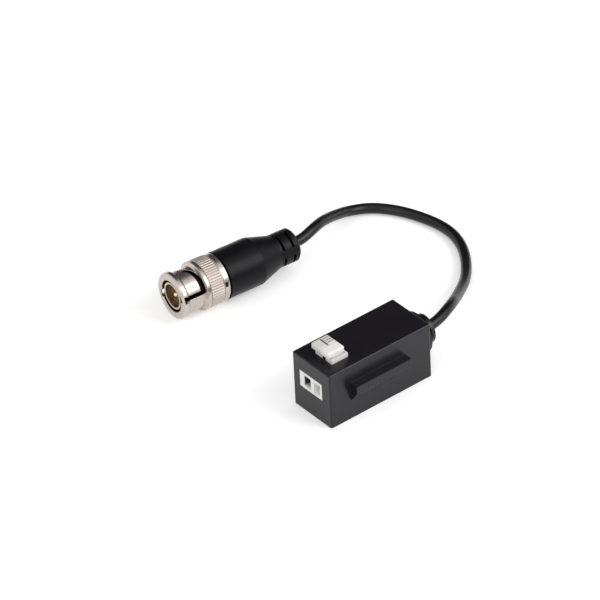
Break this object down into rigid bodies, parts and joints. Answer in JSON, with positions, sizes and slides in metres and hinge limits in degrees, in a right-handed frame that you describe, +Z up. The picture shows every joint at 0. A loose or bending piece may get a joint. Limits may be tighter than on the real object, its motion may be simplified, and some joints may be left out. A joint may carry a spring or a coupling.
{
  "type": "video balun",
  "caption": "Passive video balun with a push terminal, a short coaxial cable and a bayonet plug with a turning nut.",
  "frame": {"origin": "centre of the box's underside, on the surface that the box, the cable and the plug rest on", "axes": "+Y from the terminal face to the cable end of the box, +Z up, +X to the right seen from the terminal face"},
  "size_m": [0.0805, 0.087, 0.0217],
  "materials": {
    "housing_plastic": "fine moulded texture",
    "terminal_plastic": "moulded",
    "button_plastic": "moulded",
    "board_laminate": "solder mask",
    "tinned_metal": "tinned",
    "spring_steel": "bright",
    "ferrite": "sintered",
    "enamelled_wire": "enamelled copper",
    "moulded_black": "moulded",
    "gland_plastic": "moulded",
    "cable_jacket": "extruded, glossy",
    "boot_plastic": "satin moulded",
    "nickel_plate": "bright nickel",
    "gold_plate": "gold plated",
    "dielectric": "turned",
    "gasket_rubber": "moulded"
  },
  "bodies": {
    "balun": {"housing_shell": "housing_plastic", "bottom_cover": "housing_plastic", "circuit_board": "board_laminate", "terminal_body": "terminal_plastic", "contact_bar_left": "tinned_metal", "contact_bar_right": "tinned_metal", "clamp_spring_left": "spring_steel", "clamp_spring_right": "spring_steel", "transformer_core": "ferrite", "winding_line": "enamelled_wire", "winding_coax": "enamelled_wire", "surge_suppressor": "moulded_black", "chip_parts": "moulded_black", "core_wire": "tinned_metal", "shield_pigtail": "tinned_metal", "strain_relief": "gland_plastic", "coax_cable": "cable_jacket", "plug_boot": "boot_plastic", "plug_body": "nickel_plate", "insulator": "dielectric", "centre_pin": "gold_plate", "seal_gasket": "gasket_rubber", "spring_washer": "spring_steel", "crimp_ferrule": "nickel_plate"},
    "left_push": {"button_left": "button_plastic"},
    "right_push": {"button_right": "button_plastic"},
    "nut_carrier": {"thrust_washer": "nickel_plate"},
    "nut": {"coupling_nut": "nickel_plate", "retaining_ring": "spring_steel"}
  },
  "joints": [
    {"name": "button_left_press", "type": "slide", "parent": "balun", "child": "left_push", "axis": [0, 0, -1], "range_m": [0, 0.0012], "stiffness_N_per_m": 400, "deforming": ["clamp_spring_left"]},
    {"name": "button_right_press", "type": "slide", "parent": "balun", "child": "right_push", "axis": [0, 0, -1], "range_m": [0, 0.0012], "stiffness_N_per_m": 400, "deforming": ["clamp_spring_right"]},
    {"name": "coupling_nut_float", "type": "slide", "parent": "balun", "child": "nut_carrier", "axis": [-0.0767, -0.9971, 0], "range_m": [0, 0.0006], "stiffness_N_per_m": 3000, "deforming": ["spring_washer"]},
    {"name": "coupling_nut_spin", "type": "hinge", "parent": "nut_carrier", "child": "nut", "pos_m": [-0.06245, -0.01919, 0.0075], "axis": [0.0767, 0.9971, 0], "continuous": true}
  ]
}
